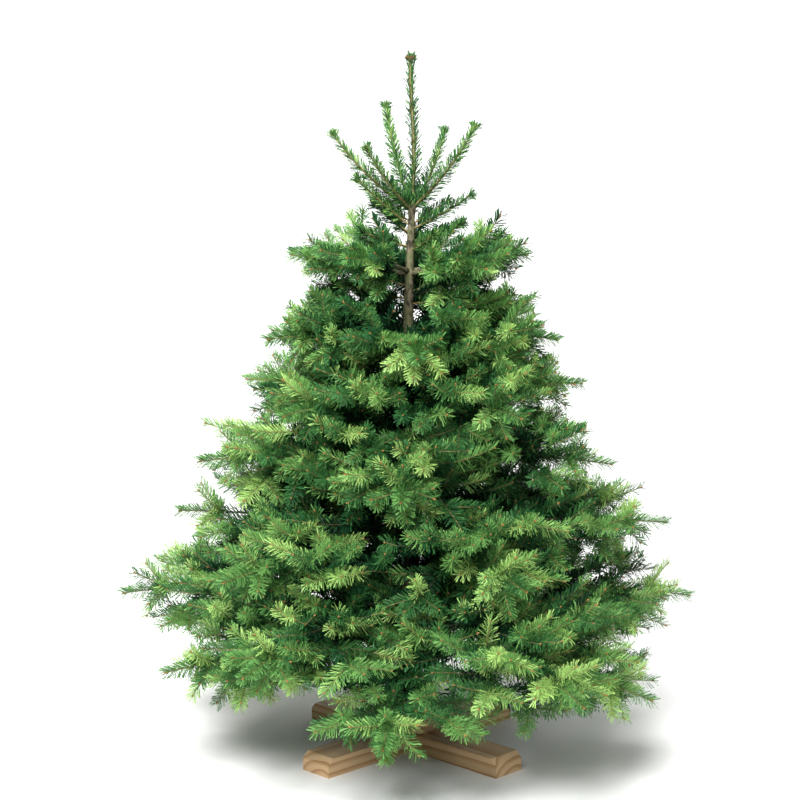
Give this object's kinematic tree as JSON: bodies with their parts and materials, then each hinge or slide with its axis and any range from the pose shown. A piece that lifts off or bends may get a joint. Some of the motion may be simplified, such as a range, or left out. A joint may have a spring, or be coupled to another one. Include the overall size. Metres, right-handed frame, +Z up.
{
  "type": "christmas tree",
  "caption": "Cut fir grown as a Christmas tree, broad and dense at the foot with upswept top shoots and an upright leader, in a plain wooden cross stand.",
  "frame": {"origin": "on the floor under the trunk, at the middle of the stand's flat underside", "axes": "+Z up along the trunk; the front of the tree, which the picture shows, faces -Y; +X to the right of someone looking at the front"},
  "size_m": [1.3224, 1.3072, 1.5764],
  "materials": {
    "bark": "rough grey-brown bark",
    "needles": "green needles on young twigs, satin",
    "stand_wood": "bare planed pine, matte"
  },
  "bodies": {
    "root": {"trunk": "bark", "leader": "needles", "foliage_1_1": "needles", "foliage_1_2": "needles", "foliage_1_3": "needles", "foliage_1_4": "needles", "foliage_1_5": "needles", "foliage_2_1": "needles", "foliage_2_2": "needles", "foliage_2_3": "needles", "foliage_2_4": "needles", "foliage_2_5": "needles", "foliage_3_1": "needles", "foliage_3_2": "needles", "foliage_3_3": "needles", "foliage_3_4": "needles", "foliage_3_5": "needles", "foliage_4_1": "needles", "foliage_4_2": "needles", "foliage_4_3": "needles", "foliage_4_4": "needles", "foliage_4_5": "needles", "foliage_5_1": "needles", "foliage_5_2": "needles", "foliage_5_3": "needles", "foliage_5_4": "needles", "foliage_5_5": "needles", "foliage_6_1": "needles", "foliage_6_2": "needles", "foliage_6_3": "needles", "foliage_6_4": "needles", "foliage_6_5": "needles", "foliage_6_6": "needles", "bough_7_1": "bark", "foliage_7_1": "needles", "bough_7_2": "bark", "foliage_7_2": "needles", "bough_7_3": "bark", "foliage_7_3": "needles", "bough_7_4": "bark", "foliage_7_4": "needles", "bough_7_5": "bark", "foliage_7_5": "needles", "bough_7_6": "bark", "foliage_7_6": "needles", "bough_8_1": "bark", "foliage_8_1": "needles", "bough_8_2": "bark", "foliage_8_2": "needles", "bough_8_3": "bark", "foliage_8_3": "needles", "bough_8_4": "bark", "foliage_8_4": "needles", "bough_8_5": "bark", "foliage_8_5": "needles", "bough_8_6": "bark", "foliage_8_6": "needles", "stand_beam_lower": "stand_wood", "stand_beam_upper": "stand_wood", "stand_collar": "stand_wood"}
  },
  "joints": []
}
